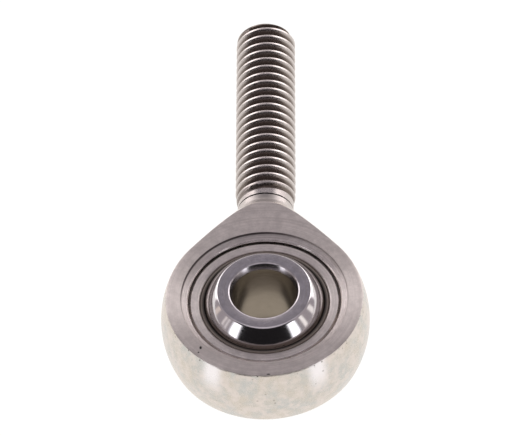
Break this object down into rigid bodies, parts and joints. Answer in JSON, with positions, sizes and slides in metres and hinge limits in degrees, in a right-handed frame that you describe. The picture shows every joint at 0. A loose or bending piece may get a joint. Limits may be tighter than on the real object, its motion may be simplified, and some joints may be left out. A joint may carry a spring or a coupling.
{
  "type": "rod end bearing",
  "caption": "Male-thread rod end: a spherical plain bearing in a flat-faced eye on a threaded shank, its polished ball swivelling in a lined race.",
  "frame": {"origin": "centre of the ball, on the bore's axis and midway between the ball's two faces", "axes": "+Z along the ball's bore and square to the eye's flat faces, +Y along the threaded shank towards its tip, +X completes the right-handed set"},
  "size_m": [0.02, 0.046, 0.009],
  "materials": {
    "housing_steel": "satin, turned",
    "race_steel": "satin, face-turned",
    "liner_fabric": "matt low-friction lining",
    "ball_steel": "mirror polished, with satin end faces"
  },
  "bodies": {
    "eye": {"housing": "housing_steel", "outer_race": "race_steel"},
    "lining": {"liner": "liner_fabric"},
    "ball": {"ball": "ball_steel"}
  },
  "joints": [
    {"name": "ball_spin", "type": "hinge", "parent": "eye", "child": "lining", "pos_m": [0, 0, 0], "axis": [0, 0, 1], "continuous": true},
    {"name": "ball_tilt", "type": "hinge", "parent": "lining", "child": "ball", "pos_m": [0, 0, 0], "axis": [1, 0, 0], "range_deg": [-13, 13]}
  ]
}
